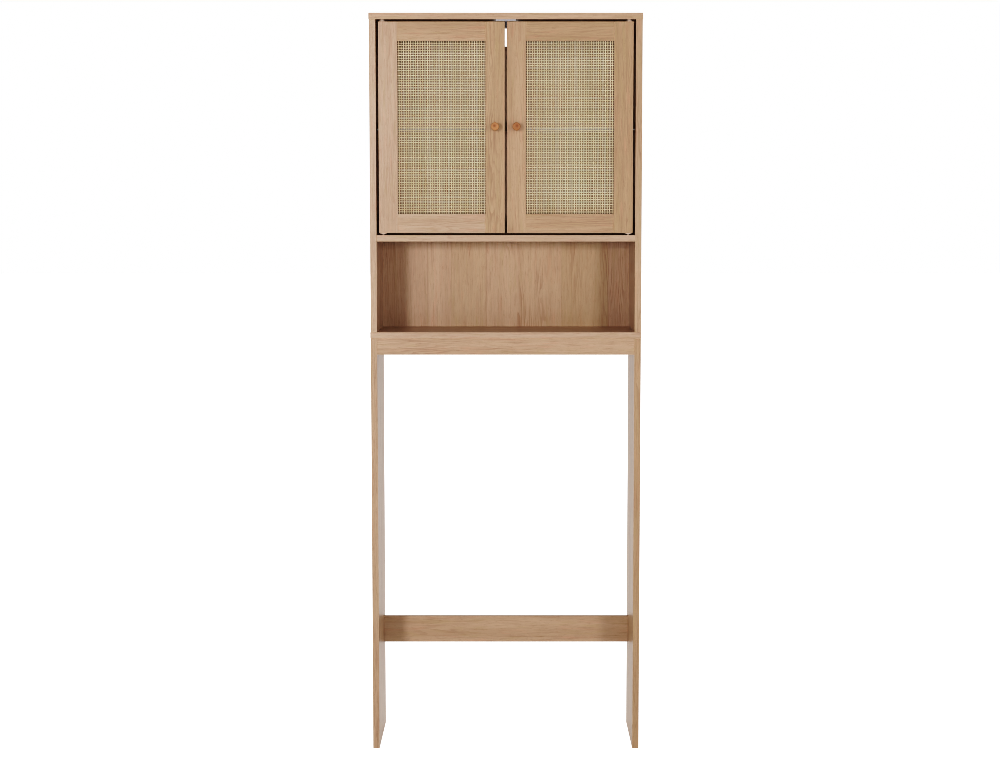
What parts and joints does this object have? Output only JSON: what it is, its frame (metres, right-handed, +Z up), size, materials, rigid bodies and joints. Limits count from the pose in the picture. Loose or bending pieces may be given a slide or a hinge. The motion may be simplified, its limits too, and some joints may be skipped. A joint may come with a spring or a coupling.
{
  "type": "over the toilet storage rack",
  "caption": "Tall storage rack that straddles a toilet: a cupboard with cane-webbed doors over an open niche, on full-depth leg panels joined by an apron and a rear crossbar.",
  "frame": {"origin": "on the floor, under the centre of the whole outline with the knobs", "axes": "+Z up, +X to the right as seen from the front, front facing -Y"},
  "size_m": [0.64, 0.246, 1.75],
  "materials": {
    "oak": "satin light oak with fine straight grain",
    "dowel": "bare wood",
    "knob": "oiled, warm brown",
    "cane": "natural cane, unvarnished",
    "plastic": "smooth light grey",
    "steel": "zinc plated",
    "magnet": "dark sintered"
  },
  "bodies": {
    "frame": {"top_board": "oak", "cabinet_floor": "oak", "inner_shelf": "oak", "bottom_board": "oak", "back_panel": "oak", "front_apron": "oak", "rear_crossbar": "oak", "left_side_panel": "oak", "right_side_panel": "oak", "left_leg": "oak", "right_leg": "oak", "top_dowel_left_front": "dowel", "leg_dowel_left_front": "dowel", "shelf_pin_left_front": "steel", "top_dowel_left_rear": "dowel", "leg_dowel_left_rear": "dowel", "shelf_pin_left_rear": "steel", "floor_bolt_left": "steel", "apron_bolt_left": "steel", "crossbar_bolt_left": "steel", "left_upper_socket": "plastic", "left_lower_socket": "plastic", "catch_magnet_left": "magnet", "catch_screw_left": "steel", "top_dowel_right_front": "dowel", "leg_dowel_right_front": "dowel", "shelf_pin_right_front": "steel", "top_dowel_right_rear": "dowel", "leg_dowel_right_rear": "dowel", "shelf_pin_right_rear": "steel", "floor_bolt_right": "steel", "apron_bolt_right": "steel", "crossbar_bolt_right": "steel", "right_upper_socket": "plastic", "right_lower_socket": "plastic", "catch_magnet_right": "magnet", "catch_screw_right": "steel", "catch_body": "plastic"},
    "left_door": {"left_hinge_stile": "oak", "left_latch_stile": "oak", "left_top_rail": "oak", "left_bottom_rail": "oak", "left_cane_panel": "cane", "left_cane_bead": "oak", "left_knob": "knob", "left_knob_screw": "steel", "left_upper_pivot": "plastic", "left_lower_pivot": "plastic", "left_strike_plate": "steel"},
    "right_door": {"right_hinge_stile": "oak", "right_latch_stile": "oak", "right_top_rail": "oak", "right_bottom_rail": "oak", "right_cane_panel": "cane", "right_cane_bead": "oak", "right_knob": "knob", "right_knob_screw": "steel", "right_upper_pivot": "plastic", "right_lower_pivot": "plastic", "right_strike_plate": "steel"}
  },
  "joints": [
    {"name": "left_door_hinge", "type": "hinge", "parent": "frame", "child": "left_door", "pos_m": [-0.2882, -0.0885, 1.484], "axis": [0, 0, -1], "range_deg": [0, 110]},
    {"name": "right_door_hinge", "type": "hinge", "parent": "frame", "child": "right_door", "pos_m": [0.2882, -0.0885, 1.484], "axis": [0, 0, 1], "range_deg": [0, 110]}
  ]
}
